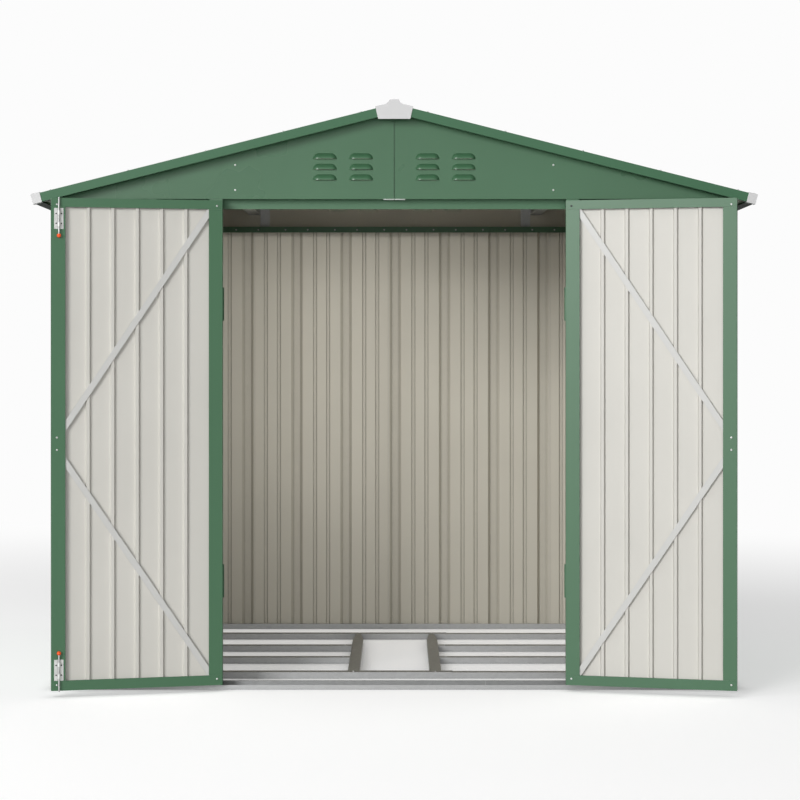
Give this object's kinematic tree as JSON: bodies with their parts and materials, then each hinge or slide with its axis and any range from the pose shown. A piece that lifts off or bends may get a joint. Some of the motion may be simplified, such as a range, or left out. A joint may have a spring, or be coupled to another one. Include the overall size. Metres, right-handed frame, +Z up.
{
  "type": "metal storage shed",
  "caption": "Metal storage shed with ribbed sheet walls, a pitched roof, louvred gables and two hinged doors with barrel bolts, on an open base frame.",
  "frame": {"origin": "on the ground, in the middle of the whole with its doors swung open", "axes": "+X to the right seen from the front, +Y from the front to the back, +Z up"},
  "size_m": [2.39, 1.9282, 1.9487],
  "materials": {
    "green_coated_steel": "satin",
    "two_sided_sheet": "satin",
    "grey_coated_steel": "satin",
    "galvanised_steel": "galvanised",
    "zinc_plated_steel": "zinc plated",
    "grey_plastic": "satin",
    "orange_plastic": "gloss",
    "dark_plastic": "satin"
  },
  "bodies": {
    "shed": {"base_rail_front": "galvanised_steel", "base_rail_rear": "galvanised_steel", "base_rail_left": "galvanised_steel", "base_rail_right": "galvanised_steel", "floor_rails": "galvanised_steel", "floor_stringers": "galvanised_steel", "floor_joists": "galvanised_steel", "wall_rear": "two_sided_sheet", "wall_left": "two_sided_sheet", "wall_right": "two_sided_sheet", "front_panel_left": "two_sided_sheet", "front_panel_right": "two_sided_sheet", "door_jamb_left": "green_coated_steel", "door_jamb_right": "green_coated_steel", "corner_posts": "green_coated_steel", "head_rail_front": "green_coated_steel", "head_rail_rear": "green_coated_steel", "head_rail_left": "green_coated_steel", "head_rail_right": "green_coated_steel", "gable_front": "green_coated_steel", "gable_rear": "green_coated_steel", "strike_plate": "zinc_plated_steel", "purlins": "galvanised_steel", "purlin_brackets": "galvanised_steel", "roof_left": "green_coated_steel", "roof_right": "green_coated_steel", "ridge_cap": "green_coated_steel", "ridge_ends": "grey_plastic", "verge_trim_front": "green_coated_steel", "verge_trim_rear": "green_coated_steel", "eave_trim_left": "green_coated_steel", "eave_trim_right": "green_coated_steel", "corner_caps": "grey_plastic", "jamb_hinges_left": "green_coated_steel", "jamb_hinges_right": "green_coated_steel"},
    "left_door": {"left_door_frame": "green_coated_steel", "left_door_panel": "two_sided_sheet", "left_door_braces": "grey_coated_steel", "left_door_hinges": "green_coated_steel", "bolt_guides": "zinc_plated_steel"},
    "top_bolt": {"top_bolt_rod": "zinc_plated_steel", "top_bolt_knob": "orange_plastic"},
    "bottom_bolt": {"bottom_bolt_rod": "zinc_plated_steel", "bottom_bolt_knob": "orange_plastic"},
    "right_door": {"right_door_frame": "green_coated_steel", "right_door_panel": "two_sided_sheet", "right_door_braces": "grey_coated_steel", "right_door_hinges": "green_coated_steel", "door_handle": "dark_plastic"}
  },
  "joints": [
    {"name": "left_door_hinge", "type": "hinge", "parent": "shed", "child": "left_door", "pos_m": [-0.568, -0.79868, 0.8], "axis": [0, 0, 1], "range_deg": [-6, 166]},
    {"name": "right_door_hinge", "type": "hinge", "parent": "shed", "child": "right_door", "pos_m": [0.568, -0.79868, 0.8], "axis": [0, 0, -1], "range_deg": [-6, 166]},
    {"name": "top_bolt_slide", "type": "slide", "parent": "left_door", "child": "top_bolt", "axis": [0, 0, 1], "range_m": [0, 0.013]},
    {"name": "bottom_bolt_slide", "type": "slide", "parent": "left_door", "child": "bottom_bolt", "axis": [0, 0, -1], "range_m": [0, 0.013]}
  ]
}
